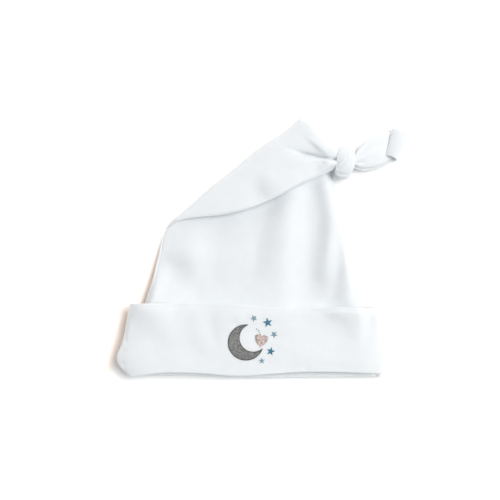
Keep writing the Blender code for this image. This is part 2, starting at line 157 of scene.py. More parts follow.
# How far the fold's edge wanders outward, at distances along the fold
FOLD_WANDER = table(
    "along outward",
    (0, 0.2), (15, 0.5), (26, 1.3), (38, 1.9), (52, 1.7), (66, 2.1), (79, 2), (89, 1), (97, 0.4),
    (104, 0.8), (110, 1.5),
)
WANDER_ZONE = (-20, 20)

# The crown as an unfolded cone: its sections from the brim to the knot, and how far each is
# gathered. They fan round until they run along the fold, and back again to the neck in the knot.
CROWN_ROWS = table(
    "left_x left_y right_x right_y gather",
    (-89.6, -83, 79.4, -83, 0), (-87.6, -76, 78.2, -76, 0), (-80.6, -55, 73.2, -55, 0),
    (-74.7, -36, 67.9, -36, 0), (-72.4, -28.5, 64.8, -23, 0), (-70, -20.6, 60.8, -4.5, 0),
    (-68, -12, 55.8, 17.4, 0), (-66, -4, 49.4, 42.6, 0), (-64.8, 2, 41.2, 61.8, 0),
    (-63.3, 7.4, 32, 78.2, 0), (-59, 16.8, 28.4, 85.4, 0), (-53.1, 30.2, 26.2, 92.2, 0),
    (-47.2, 47, 24.4, 95.7, 0.05), (-39.2, 63.3, 22.4, 99.3, 0.15),
    (-29.6, 77.3, 20.6, 102.3, 0.35), (-19.6, 89.2, 18.9, 105.1, 0.6),
    (-11, 99.8, 17.4, 108.2, 0.82), (-2.8, 110.2, 15.9, 111.4, 1), (1.2, 114.6, 12.8, 115.4, 1),
)

# The outside of the cuff, from its bottom fold up: the left end of its front and of its back layer,
# and the right end of both
CUFF_ROWS = table(
    "y left_front left_back right",
    (-83.4, -85.4, -85.4, 80.6), (-81, -88, -88.6, 82.2), (-78, -89.6, -91.4, 82.8),
    (-74, -90, -93.1, 83), (-71, -89.8, -93.3, 83), (-66, -89.2, -91.4, 82.4),
    (-60, -88.4, -89.3, 81.6), (-48, -86.3, -86.9, 80), (-36, -84, -84.3, 78.2),
)

# How far the bottom fold's front and back edges stray from the straight, along the brim
HEM_ROWS = table(
    "x front back",
    (-95, 1, 0.6), (-80, -0.2, -0.6), (-70, 1.2, -0.6), (-40, 1.6, -0.7), (-15, -0.2, -2),
    (12, 1.4, -1.9), (31, 2.4, -1.5), (48, 2.4, -1.5), (83, 1, -1.3),
)
HEM_ZONE = (70, 12)

# How far the cuff's rolled top strays along Y
TOP_ROWS = table(
    "x stray",
    (-95, 0), (-40, 0.3), (-20, 0), (-6, -1.2), (8, -2.6), (33, -3), (53, -2.2), (65, -2.6),
    (80, -3.2),
)
TOP_ZONE = (-60, 20)

# Strokes: X, Y and depth of the start, the bend and the end of a curved line in plan, then the
# stroke's half width, how much wider its left side is than its right, and how sharp its bottom is,
# where it isn't round
STROKE_STEPS = 25
ROUND = 2
FRONT_STROKES = {
    "side_valley": (32.4, 42.5, 2.7, 37.4, 8.2, 4.8, 27.3, -31.2, 3.2, 10.7, 0),
    "side_ridge": (43.9, 41.9, -3, 53, 9.1, -5, 40.3, -22.8, -0.4, 7.1, 0.15),
    "right_valley": (50.8, 6.6, 1.1, 53.2, -18.2, 2.5, 46.3, -35.1, 0.3, 4.9, -0.09),
    "right_ridge": (58.2, 2.4, -1.5, 58.9, -17.8, -5, 60.6, -36.1, -1.8, 5.7, -0.06),
    "middle_valley": (6, 29.8, 2.4, -2.3, 8.9, 4.6, -4.3, -15.8, 1.7, 12, -0.27),
    "middle_ridge": (24, 33.4, -2, 16, 8.3, -3.3, 16.9, -20.8, -0.5, 7.4, -0.2),
    "left_valley": (-67, -6, 3.8, -57.5, -17.4, 3.7, -43.3, -25.5, 3.3, 10.6, 0),
    "left_ridge": (-60.4, 6.2, -3.8, -48.4, -1.9, -3.7, -35.7, -14.5, 1.3, 9.2, 0.13),
    "left_swell": (-71.7, -41.1, -3, -71.2, -26.5, -5, -68.6, -16.4, -3, 7.5, -0.1),
    "centre_hollow": (-33, 13.1, 3.7, -25, -2.3, 3.1, -24.9, -21.5, 3.6, 14, 0.09),
    "low_hollow": (31.2, -15.9, 0.8, 41.2, -30.8, 2.9, 43.4, -37.8, 1.9, 9.9, -0.06),
}
CUFF_STROKES = {
    "left_dent": (-86.4, -41.5, 0.7, -82.5, -47.7, 0, -73.3, -58.5, 0.4, 5.8, 0),
    "left_ridge": (-77.1, -36.4, -1.7, -69, -42.1, -4.6, -58.9, -49, -1.2, 10.3, 0),
    "middle_dent": (-31.3, -42.9, 0.7, -32, -50.3, 1.1, -29.1, -59.7, 0.8, 5.4, -0.2),
    "low_dent": (-50.3, -43.6, 0.6, -48.1, -55.7, 1.5, -40.8, -68.4, 1.3, 9.1, -0.22),
    "right_dent": (33.3, -40.6, 2, 46.2, -47.1, 1.1, 54, -56.2, 0.6, 12.3, -0.55),
    "down_dent": (51.5, -42.3, -0.6, 52.7, -49.4, 1.1, 59.6, -55.7, 0, 3.7, 0),
    "right_ridge": (62.2, -36.9, -2.4, 66.8, -45.4, -2.2, 62.6, -59.9, 0, 7.1, -0.4),
    "edge_dent": (73.4, -42.1, 0.9, 73, -55.8, 1.5, 66.9, -68.1, 0.2, 4, 0.22),
    "top_swell": (-89.9, -38.8, -0.7, -0.5, -44, 0.9, 83.2, -42.1, -1.9, 4.4, -0.48),
    "hem_pucker": (31, -82, 1.4, 31.3, -79, 0.9, 31.6, -76, 0.1, 1.4, 0),
}
FLAP_STROKES = {
    "upper_ridge": (23.2, 78.8, -0.4, 36, 69.4, -2.2, 46, 58.8, -2.3, 5, 0.2, 1.6),
    "main_crease": (11.8, 66.6, 0.8, 31.5, 61, 4, 51, 57.4, 2.1, 2.2, 0.5, 1.4),
    "main_line": (15.5, 66.4, 0.9, 31.6, 60.2, 5.2, 50.7, 57.8, 1.8, 0.95, 0),
    "second_crease": (21, 78.6, 0.1, 30.4, 70.6, 1.8, 42.5, 60.8, 0.7, 2.2, -0.2),
    "main_ridge": (9.4, 59.8, -0.6, 23.8, 55.4, -1.6, 41.8, 55.6, -1.4, 5.4, -0.09),
    "lower_crease": (41.6, 55.6, 1.3, 38.4, 55.4, 0.8, 36.8, 50.6, 0, 1.7, 0, 1.6),
    "lower_lobe": (41.6, 54.8, -0.9, 46.6, 54.2, -0.9, 50.5, 54.6, -0.6, 3.4, 0),
    "soft_hollow": (-6.2, 51.5, 0.5, -3, 41.8, 2.3, 4, 32.3, 1.2, 5.9, -0.15),
    "side_ridge": (-26.5, 33.2, -0.7, -16.9, 44.9, -1.2, 2.8, 51.2, -2, 9.4, 0.05),
    "low_ridge": (3.6, 39, -0.9, 13.5, 44.7, -1.5, 30, 48.2, -1.4, 6.6, 0.06),
}

# Gentle unevenness of slack cloth: waves along X and Y, their phase and height
WAVES = (
    (0.17, 0.06, 0.4, 0.16), (-0.09, 0.21, 1.9, 0.14), (0.26, -0.19, 3.1, 0.08),
    (0.05, 0.33, 4.4, 0.06), (0.38, 0.11, 5.2, 0.04),
)

# Knot: its middle, the turn of its axis, and its bands. A band is a ring round the neck: how far
# its middle line is from the knot's middle across and up, how far its lower and upper ends lean
# along the hat's tip, its width over the top and at the sides, and its thickness
KNOT_MIDDLE = np.array((56.6, 56.3, 7.8))
KNOT_TURN = math.radians(-3)
KNOT_BANDS = {
    "outer": (9, 5.3, -1.8, 0.4, 12.4, 10.2, 5.2),
    "under": (9.6, 4.2, -5.2, 1.6, 7, 4.6, 3.2),
}
BAND_STEPS = 200
BAND_SIDES = 56
LEAN_POWER = 1.5
BULGE_POWER = 0.95
FACING_ZONE = (0, 0.5)
# Creases that run together at the knot's left edge
KNOT_STROKES = {
    "first": (54.6, 66, 0.1, 53.2, 61.5, 0.7, 50.4, 56, 0.9, 0.6, 0),
    "second": (57, 66, 0.1, 54.6, 60.5, 0.7, 50.2, 54.6, 0.9, 0.6, 0),
    "third": (59.2, 65, 0.1, 56.2, 59.5, 0.8, 50.4, 53.2, 0.9, 0.7, 0),
    "fourth": (60.6, 62.6, 0, 57.6, 57.5, 0.5, 51.6, 51.8, 0.7, 0.7, 0),
    "fold": (60.4, 49, 0.1, 56.4, 47.2, 0.7, 51.8, 48.6, 0.7, 0.8, 0),
}

# Tail: sections across it from inside the knot to where its end rolls up
TAIL_ROWS = table(
    "left_x left_y right_x right_y thick middle_z",
    (57.6, 52.8, 58, 60.6, 4.6, 7.2), (61.6, 52, 62.2, 61.4, 5.4, 7),
    (64.4, 50.9, 64, 63.4, 6.6, 6.4), (68.6, 50.2, 67.8, 67.6, 7, 5.5),
    (75.6, 51, 74.2, 72.2, 6.4, 4.3), (82, 53.2, 81.6, 75.6, 4.6, 3),
    (87.2, 56.2, 93, 77.5, 2.6, 1.6),
)
# The rolled end: its middle line from the last section on, outward along the tail and up, and how
# far its lower end draws back
ROLL_LINE = table(
    "outward up thick draw_back",
    (0, 1.6, 2.6, 0), (2.2, 1.9, 2.4, 0.3), (3.6, 3.6, 2.3, 0.9), (2.6, 5.6, 2.3, 1.6),
    (0, 6.2, 2.3, 2.2), (-2.9, 5.5, 2.2, 2.5), (-5.4, 3.9, 1.9, 2.6),
)
# How much wider the roll is at its upper end, and narrower at its lower end
ROLL_HIGH_SHARE = 1.35
ROLL_LOW_SHARE = 0.6
TAIL_RINGS = 70
ROLL_RINGS = 44
TAIL_HOLLOW = slice(0, 52, 3)
# How much thinner the last rings are, to close the roll
TAIL_TIP = (0.92, 0.75, 0.4)
TAIL_REACH = 2.6
TAIL_EDGE_SHARE = 0.7
TAIL_EDGE_ZONE = (0, 4)
UPRIGHT_ZONE = (0.5, 0.5)
TAIL_STROKES = {
    "dimple": (64.5, 55.5, 0.9, 66.5, 56, 0.9, 69, 56.8, 0.1, 1.3, 0),
    "upper_pleat": (63.5, 60, 0.9, 68.5, 64, 0.9, 74, 67, 0.1, 1.7, 0),
    "swell": (66, 59, -0.3, 73, 61, -0.9, 81, 65, -0.3, 4.5, 0),
    "roll_valley": (84, 57, 0.5, 85.8, 66, 0.5, 88.2, 77, 0.5, 2.2, 0),
}

# Embroidery on the cuff: a crescent moon, a heart that hangs from its tip, and stars, each given by
# X, Y, radius and turn
MOON_CENTRE = np.array((-8.6, -61.6))
MOON_RADIUS = 11.6
MOON_CUT_CENTRE = np.array((-3.7, -58.6))
MOON_CUT_RADIUS = 9.3
OUTLINE_STITCH = 1.5
OUTLINE_OVERLAP = 0.25
OUTLINE_SHIFT = 0.12
OUTLINE_LAYER = 0.12
HEART_CENTRE = (1.2, -61.2)
HEART_SIZE = 4.6
HEART_TURN = math.radians(-8)
HEART_SLANT = math.radians(24)
HEART_OVERLAP = 0.3
HEART_STEP = 0.05
HEART_SHORTEST = 0.4
# How tall the heart's outline is, how low it lies, how deep it is notched, and where its stitches
# are looked for
HEART_HEIGHT = 1.15
HEART_DROP = 0.1
HEART_NOTCH = 0.75
HEART_BOTTOM = -1.2 * HEART_SIZE
HEART_TOP = 1.6 * HEART_SIZE
HANGING_LINE = ((-1.9, -52.6), (0.2, -54.2), (1.2, -58.4))
RUNNING_STITCH = 1
RUNNING_PITCH = 1.5
BLUE_STARS = ((5.6, -48.6, 3.3, 10), (7.6, -67.4, 2.9, -14))
PALE_STARS = ((-3.4, -45.8, 2.2, 28), (9.8, -56.4, 2.3, 35), (1.8, -73.6, 2, 4))
STAR_WAIST = 0.42
STAR_OVERLAP = 0.08
STAR_ANGLE = 72
STAR_START = 0.3
STAR_TIP = 0.1
THREAD_SPACING = 0.36
STAR_SPACING = 0.9 * THREAD_SPACING
THREAD_WIDTH = 0.42
THREAD_HEIGHT = 0.30
THREAD_LIFT = 0.04
THREAD_END_SHARE = 0.55
FANNED_SHARE = 0.82
LONG_STITCH = 3.4
LAST_STITCH = 0.25 * LONG_STITCH
SHORTEST_STITCH = 0.5
# Where the first stitch ends in each of three rows, in long stitches
FIRST_MARKS = (0.35, 0.58, 0.81)
STITCH_STEPS = 7
STITCH_SIDES = 8
STITCH_SINK = 0.22
HIGH_ABOVE = 60
# The cloth is drawn in round the embroidery, in a ring of ripples
PUCKER_CENTRE = (-3.5, -60)
PUCKER_RADIUS = 15
PUCKER_DEPTH = 0.35
PUCKER_RIPPLE = 0.16
PUCKER_COUNT = 11
PUCKER_RING = (1.15, 0.3)

# Knit: distance between ribs and between rows of stitches, how high each stands, how deep the whole
# is, and how much light soaks into the cloth
WHITE = (0.878, 0.902, 0.925)
DOUBLED_WHITE = (0.902, 0.926, 0.948)
RIB_PITCH = 0.62
ROW_PITCH = 0.52
RIB_SHARE = 0.26
ROW_SHARE = 0.14
KNIT_DEPTH = 0.16
# Darkest share of the cotton's colour, reached by random mottle and by painted shade in the knit's
# grooves
COTTON_MOTTLE_AND_SHADE = 0.94
# How much the height of the knit, or of a thread's strands, paints shade into the colour, darker in
# the grooves
GROOVE_SHADE = 0.35
BUMP_STRENGTH = 0.6
COTTON_LOOK = {
    "Roughness": 0.9, "Specular IOR Level": 0.25,
    "Subsurface Weight": 0.5, "Subsurface Radius": (1, 0.95, 0.9), "Subsurface Scale": 1.2 * MM,
    "Sheen Weight": 0.3, "Sheen Roughness": 0.5,
}
# Noises: scale, detail and height
NOISES = {
    "drift": (0.35, 2, 0.5),
    "nap": (3.2, 3, 0.55),
    "mottle": (0.16, 4, 0.75),
    # painted sheen on the thread: spots where its colour is lighter
    "sheen": (0.8 / MM, 2, 3.2),
}
THREAD_COLOURS = {
    "grey_thread": (0.33, 0.33, 0.32),
    "dark_thread": (0.085, 0.085, 0.085),
    "pink_thread": (0.86, 0.71, 0.65),
    "blue_thread": (0.09, 0.33, 0.50),
    "pale_blue_thread": (0.33, 0.53, 0.66),
}
THREAD_ROUGHNESS = 0.42
THREAD_TWIST = 1.1
STRANDS = 2
# Darkest share of a thread's colour, reached by painted shade between its strands; painted sheen in
# spots lifts it back
THREAD_SHADE = 0.42
STRAND_DEPTH = 0.05
SHEEN_FROM = 1.3

# Camera and light: each lamp's azimuth, elevation and power
VIEW_CENTRE = (-5.9, -1.3)
VIEW_WIDTH = 327.5
LENS = 135
SENSOR = 36
FARTHEST = 20
LAMPS = {"key": (16, 58, 41.5), "back": (112, 28, 9)}
LAMP_DISTANCE = 2.4
LAMP_SIZE = 1.6
LAMP_COLOUR = (1, 0.985, 0.96)
FILL_LIGHT = {"Color": (0.935, 0.972, 1, 1), "Strength": 0.45}
FLOOR_WIDTH = 6
FLOOR_GAP = 0.0002
FLOOR_GLOW = 0.01
FLOOR_LOOK = {"Roughness": 0.8, "Emission Color": (1, 1, 1, 1)}
# Round the hat the floor glows, painted light that washes out the hat's shadows there, and at its
# left its colour is warm, a painted warm shade where the hat's shadow falls. Each side is a product
# of ramps: the direction in which a ramp grows, and where along it, in metres, it starts and ends
PAINTED_FLOOD_LIGHT = 0.6
PALE_FLOOR = (0.97, 0.97, 0.97, 1)
# Painted warm shade, on the floor at the hat's left where its shadow falls
WARM_SHADE_FLOOR = (0.97, 0.83, 0.745, 1)
WARM_SHADE_SIDE = ((-0.8, 0.6, 0.020, 0.038),)
PAINTED_LIGHT_SIDES = {
    "fold": ((-0.62, 0.79, 0.034, 0.052),),
    "crown": ((-0.953, 0.303, 0.0610, 0.0675), (0, 1, -0.045, -0.034)),
    "left": ((-0.965, 0.262, 0.0720, 0.0825),),
    "corner": ((-0.707, -0.707, 0.1230, 0.1350),),
    "bottom": ((0, -1, 0.0850, 0.0940),),
    "tail": ((-0.504, 0.864, 0.0215, 0.033), (1, 0, 0.040, 0.050)),
}


def fade(value, zone):
    """Ease from 0 to 1 as a value crosses a zone, given as its start and its reach."""
    t = np.clip((value - zone[0]) / zone[1], 0, 1)
    return t * t * (3 - 2 * t)


def round_edge(distance, reach):
    """Rise from 0 at an edge to 1 at its reach, as a quarter ellipse."""
    return np.sqrt(1 - (1 - np.clip(distance / reach, 0, 1)) ** 2)


def curve(places, values, at):
    """A smooth curve through the values given at rising places."""
    slopes = np.gradient(values, places)
    at = np.clip(at, places[0], places[-1])
    i = np.clip(np.searchsorted(places, at) - 1, 0, len(places) - 2)
    step = places[i + 1] - places[i]
    t = (at - places[i]) / step
    rise = t * t * (3 - 2 * t)
    start_pull = t * (1 - t) ** 2 * step * slopes[i]
    end_pull = t * t * (t - 1) * step * slopes[i + 1]
    return values[i] * (1 - rise) + values[i + 1] * rise + start_pull + end_pull


def read(sections, places, at):
    """A table's columns as smooth curves over the places of its rows, read at others."""
    return {name: curve(places, values, at)[:, None] for name, values in sections.items()}


def spaced(sections, steps):
    """A table of the tail as smooth curves, read at even steps from its first row to its last."""
    count = len(sections["thick"])
    return read(sections, np.arange(count), np.linspace(0, count - 1, steps))


def waves(x, y):
    """Gentle unevenness at plan points."""
    return sum(height * np.sin(along_x * x + along_y * y + phase)
               for along_x, along_y, phase, height in WAVES)


def stroke_depth(stroke, x, y):
    """Depth of one stroke at plan points, from their distance to its curved line."""
    start, bend, end = np.reshape(stroke[:9], (3, 3))
    width, skew, power = (*stroke[9:], ROUND)[:3]
    t = np.linspace(0, 1, STROKE_STEPS + 1)[:, None]
    line = (1 - t) ** 2 * start + 2 * t * (1 - t) * bend + t * t * end
    nearest, depth, side = np.full(x.shape, np.inf), np.zeros_like(x), np.zeros_like(x)
    for (from_x, from_y, from_depth), (to_x, to_y, to_depth) in zip(line, line[1:]):
        run_x, run_y = to_x - from_x, to_y - from_y
        off_x, off_y = x - from_x, y - from_y
        share = np.clip((off_x * run_x + off_y * run_y) / (run_x ** 2 + run_y ** 2), 0, 1)
        away = (off_x - share * run_x) ** 2 + (off_y - share * run_y) ** 2
        closer = away < nearest
        nearest = np.where(closer, away, nearest)
        depth = np.where(closer, from_depth + share * (to_depth - from_depth), depth)
        turn = (run_x * off_y - run_y * off_x) / (np.hypot(run_x, run_y) * np.sqrt(away) + TINY)
        side = np.where(closer, np.clip(turn, -1, 1), side)
    return depth * np.exp(-(np.sqrt(nearest) / (width * (1 + skew * side))) ** power)


def relief(strokes, x, y):
    """Depth of all the strokes at plan points."""
    return sum(stroke_depth(stroke, x, y) for stroke in strokes.values())


def hem_stray(x, y, side):
    """How far the uneven bottom fold strays along Y."""
    return curve(HEM_ROWS["x"], HEM_ROWS[side], x) * fade(-y, HEM_ZONE)


def top_stray(x, y):
    """How far the cuff's uneven rolled top strays along Y."""
    return curve(TOP_ROWS["x"], TOP_ROWS["stray"], x) * fade(y, TOP_ZONE)


def fold_place(x, y):
    """Where plan points lie along the fold, and how far past its outer edge."""
    off_x, off_y = x - FOLD_START[0], y - FOLD_START[1]
    along_x, along_y = FOLD_ALONG
    return off_x * along_x + off_y * along_y, off_y * along_x - off_x * along_y


def past_fold(x, y):
    """How far plan points lie past the fold's axis, which is inside its outer edge."""
    return fold_place(x, y)[1] + FOLD_Z


def moved_out(x, y, z, outward):
    """Points moved outward across the fold."""
    return x - outward * FOLD_ALONG[1], y + outward * FOLD_ALONG[0], z


def front_height(x, y):
    """Height of the front wall away from its edges."""
    open_height = OPEN_HEIGHT - SHOULDER_DROP * fade(y, SHOULDER_ZONE)
    past = past_fold(x, y)
    height = FOLDED_HEIGHT + (open_height - FOLDED_HEIGHT) * fade(-past, OPEN_ZONE)
    away = ((x - PRESS_CENTRE[0]) ** 2 + (y - PRESS_CENTRE[1]) ** 2) / PRESS_REACH ** 2
    return height - np.where(past < 0, PRESS_DEPTH * np.exp(-away), 0)


def back_height(x, y):
    """Height of the back wall, which lies on the surface, and on the cuff inside it."""
    puff = FLAP_PUFF * fade(past_fold(x, y), PUFF_ZONE)
    return (CUFF_WALL + GAP) * fade(-y, CUFF_STEP_ZONE) - puff


def lowered(d, length, inset, y, edge_drops):
    """Share of its full height that the front keeps near its side edges and the bottom fold."""
    near_edge = np.minimum(d, length - d) + inset
    edge_drop = np.where(d < 0.5 * length, *edge_drops)
    side = 1 - edge_drop * (1 - np.clip(near_edge / EDGE_DROP_REACH, 0, 1)) ** 2
    return side * (1 - HEM_DROP * np.clip((HEM_DROP_TOP - y) / HEM_DROP_REACH, 0, 1))


def wall(length, reaches, steps):
    """A wall over chords: distances along them, how far it has risen from its round edges, and how
    far inside them it is."""
    turn = 1 - np.cos(np.linspace(0, 1, steps[0] + 1) ** ARC_CROWDING * math.pi / 2)
    left = reaches[0] * turn
    right = length - reaches[1] * turn[::-1]
    share = np.linspace(0, 1, steps[1] + 1)[1:-1]
    d = np.hstack([left, left[:, -1:] + (right[:, :1] - left[:, -1:]) * share, right])
    rise = round_edge(d, reaches[0]) * round_edge(length - d, reaches[1])
    return d, rise, np.minimum(d, length - d)


def closed(front, back):
    """Rings that run along a front and return along a back."""
    return np.hstack([front, back[:, ::-1][:, 1:-1]])


def rolled_seam(d, inside_by):
    """Depth of the seam line on the front, this far inside its left outline."""
    return ROLLED_DEPTH * np.exp(-((d - inside_by) / ROLLED_WIDTH) ** 2)


def seam_groove(d, length, near_edge, from_middle):
    """How far the seam between front and back draws points inward along the chord."""
    depth = SEAM_DEPTH * np.exp(-(from_middle / SEAM_WIDTH) ** 2) * np.exp(-near_edge / SEAM_REACH)
    return np.where(d < 0.5 * length, depth, -depth)


def crown_places():
    """How far along the crown each section of its table stands."""
    gaps = {name: np.diff(values) for name, values in CROWN_ROWS.items()}
    left, right = [np.hypot(gaps[end + "_x"], gaps[end + "_y"]) for end in ("left", "right")]
    return np.append(0, np.cumsum(0.5 * (left + right)))


def ring_places(end, counts):
    """Places of the crown's rings, closer together where it turns over the fold."""
    stations = crown_places()
    fold = stations[FOLD_ROW]
    stops = (stations[1], fold - FOLD_CLOSE, fold + FOLD_CLOSE, stations[-1] - end)
    runs = [np.linspace(*stretch, endpoint=False) for stretch in zip(stops[:-1], stops[1:], counts)]
    return np.hstack([*runs, stops[-1]])


def crown_rings(places, inset, steps):
    """Closed rings of the unfolded crown, one at each place.

    Returns the points, how far each is inside the edges, from 0 to 1, and which are front."""
    ends = read(CROWN_ROWS, crown_places(), places)
    span_x = ends["right_x"] - ends["left_x"]
    span_y = ends["right_y"] - ends["left_y"]
    full = np.hypot(span_x, span_y)
    along_x, along_y = span_x / full, span_y / full
    turned = [fade(past_fold(ends[end + "_x"], ends[end + "_y"]), TURNED_ZONE)
              for end in ("left", "right")]
    tuck = inset + (SEAM_DEPTH if inset > 0 else 0)
    halves = []
    for is_front, (flat_reaches, turned_reach) in ((1, FRONT_REACHES), (0, BACK_REACHES)):
        length = full - 2 * tuck
        reaches = [np.minimum(reach + (turned_reach - reach) * t, 0.5 * length)
                   for reach, t in zip(flat_reaches, turned)]
        d, rise, near_edge = wall(length, reaches, steps)
        x = ends["left_x"] + along_x * (tuck + d)
        y = ends["left_y"] + along_y * (tuck + d)
        y = y + hem_stray(x, y, "front" if is_front else "back")
        past = past_fold(x, y)
        edge_drops = [drop * fade(-past, OPEN_ZONE) for drop in CROWN_EDGE_DROPS]
        low = lowered(d, length, inset, y, edge_drops)
        front = front_height(x, y) * low + NECK_FRONT * ends["gather"] - inset
        back = back_height(x, y) - NECK_BACK * ends["gather"] + inset
        share = SEAM_SHARE + SEAM_SHARE_TURNED * fade(past, SEAM_ZONE)
        middle = (back - inset) + share * (front - back + 2 * inset)
        z = middle + ((front if is_front else back) - middle) * rise
        if inset == 0:
            shown = 1 - turned[0]
            inward = seam_groove(d, length, near_edge, z - middle)
            inward = inward * np.where(inward > 0, 1 - shown, 1)
            x, y = x + along_x * inward, y + along_y * inward
            z = z - is_front * shown * rolled_seam(d, CROWN_ROLLED)
        inside = fade(near_edge, EDGE_ZONE)
        halves.append(np.stack([x, y, z, inside, np.full_like(x, is_front)], axis=2))
    rings = closed(*halves)
    return rings[:, :, :3], rings[:, :, 3], rings[:, :, 4]


def turn_over_fold(points, inside, is_front):
    """Turn what lies past the fold over onto the front, and add the folds and dents."""
    x, y, z = points[..., 0], points[..., 1], points[..., 2]
    past = past_fold(x, y)
    roll = 2 * FOLD_Z
    angle = math.pi * np.clip(past / roll, 0, 1)
    radius = FOLD_Z - z
    outward = np.maximum(np.sin(angle), 0) ** FOLD_POWER
    upward = np.sign(np.cos(angle)) * np.abs(np.cos(angle)) ** FOLD_POWER
    shift = np.where(past > 0, np.where(past < roll, radius * outward, roll - past) - past, 0)
    x, y, z = moved_out(x, y, np.where(past > 0, FOLD_Z - radius * upward, z), shift)
    over = fade(angle, OVER_ZONE)
    lift = (front_height(x, y) - FOLDED_HEIGHT) * (1 - fade(x, LIFT_ZONE))
    z = z + over * (lift + FOLD_RISE * fade(-past_fold(x, y), RISE_ZONE))
    loose = inside * is_front * fade(-past, CREASE_ZONE) * fade(y, ABOVE_CUFF_ZONE)
    z = z - loose * (relief(FRONT_STROKES, x, y) - waves(x, y))
    loose = inside * (1 - is_front) * over * fade(-past_fold(x, y), FLAP_ZONE)
    z = z - loose * (relief(FLAP_STROKES, x, y) - waves(y, x))
    place, past_edge = fold_place(x, y)
    wander = curve(FOLD_WANDER["along"], FOLD_WANDER["outward"], place)
    return np.stack(moved_out(x, y, z, wander * fade(past_edge, WANDER_ZONE)), axis=-1)


def cloth_map(rings):
    """Where each point lay in the flat cloth, measured from a quarter round its ring, which is the
    middle of its front. A ring's first point stands again at its end."""
    middle = rings.shape[1] // 4
    steps = np.linalg.norm(np.diff(rings, axis=1, append=rings[:, :1]), axis=2)
    run = np.hstack([np.zeros((len(rings), 1)), np.cumsum(steps, axis=1)])
    rows = np.linalg.norm(np.diff(rings[:, middle], axis=0), axis=1)
    u = run - run[:, middle:middle + 1]
    v = np.append(0, np.cumsum(rows))[:, None]
    return np.stack([u, v + 0 * u], axis=-1)


def flat_map(unfolded):
    """As cloth_map, but laid out along the unfolded crown, where the knit runs straight."""
    middle = unfolded.shape[1] // 4
    centre = unfolded[:, middle, None, :2]
    towards = unfolded[:, middle + 1, None, :2] - centre
    towards = towards / np.linalg.norm(towards, axis=2, keepdims=True)
    return centre + cloth_map(unfolded)[..., :1] * towards


def numbered(rings, first):
    """Numbers of the points of closed rings, with a ring's first point again at its end."""
    numbers = first + np.arange(rings[..., 0].size).reshape(rings.shape[:2])
    return np.hstack([numbers, numbers[:, :1]])


def cells(grid):
    """What stands at the four corners of each cell of a grid."""
    corners = [grid[:-1, :-1], grid[:-1, 1:], grid[1:, 1:], grid[1:, :-1]]
    return np.stack(corners, axis=2).reshape(-1, 4, *grid.shape[2:])


def tube_object(name, skins, bridge, caps=()):
    """A mesh of skins, each a grid of closed rings with its cloth map. The bridge joins two rings
    and a cap closes one, each given by its skin and its row."""
    numbers, first = [], 0
    for rings, _ in skins:
        numbers.append(numbered(rings, first))
        first += rings[..., 0].size
    maps = [cloth for _, cloth in skins]
    (skin, row), (other_skin, other_row) = bridge
    joined = np.stack([numbers[skin][row], numbers[other_skin][other_row]])
    joined_map = np.stack([maps[skin][row]] * 2)
    faces = np.vstack([cells(grid) for grid in (*numbers, joined)]).tolist()
    faces += [numbers[skin][row][:-1].tolist() for skin, row in caps]
    uv = [cells(grid).reshape(-1, 2) for grid in (*maps, joined_map)]
    uv += [maps[skin][row][:-1] for skin, row in caps]
    points = np.vstack([rings.reshape(-1, 3) for rings, _ in skins])
    return new_piece(name, points, faces, np.vstack(uv))


def add_object(name, data, place=(0, 0, 0)):
    """A new object in the scene."""
    made = bpy.data.objects.new(name, data)
    made.location = place
    bpy.context.scene.collection.objects.link(made)
    return made


def new_piece(name, points, faces, uv):
    """An object of smooth faces that look outward, with the cloth map as its UVs."""
    mesh = bpy.data.meshes.new(name)
    mesh.from_pydata((points * MM).tolist(), [], faces)
    layer = mesh.uv_layers.new(name="cloth")
    layer.uv.foreach_set("vector", np.asarray(uv, np.float32).ravel())
    whole = bmesh.new()
    whole.from_mesh(mesh)
    bmesh.ops.recalc_face_normals(whole, faces=whole.faces)
    whole.to_mesh(mesh)
    whole.free()
    mesh.shade_smooth()
    return add_object(name, mesh)


def crown():
    """The soft body of the hat: two skins, open at the brim and closed in the neck."""
    skins = []
    for inset, end, counts in ((0, 0, OUTER_RINGS), (CROWN_WALL, NECK_SOLID, INNER_RINGS)):
        points, inside, is_front = crown_rings(ring_places(end, counts), inset, CROWN_STEPS)
        skins.append((turn_over_fold(points, inside, is_front), flat_map(points)))
    return tube_object("crown_cloth", skins, ((0, 0), (1, 0)), ((0, -1), (1, -1)))


def pucker(x, y):
    """How far the cloth is drawn in round the embroidery, with small ripples."""
    off_x, off_y = x - PUCKER_CENTRE[0], y - PUCKER_CENTRE[1]
    away = np.hypot(off_x, off_y) / PUCKER_RADIUS
    ring = np.exp(-((away - PUCKER_RING[0]) / PUCKER_RING[1]) ** 2)
    ripple = np.sin(PUCKER_COUNT * np.arctan2(off_y, off_x)) * ring
    return PUCKER_DEPTH * np.exp(-away ** 4) + PUCKER_RIPPLE * ripple


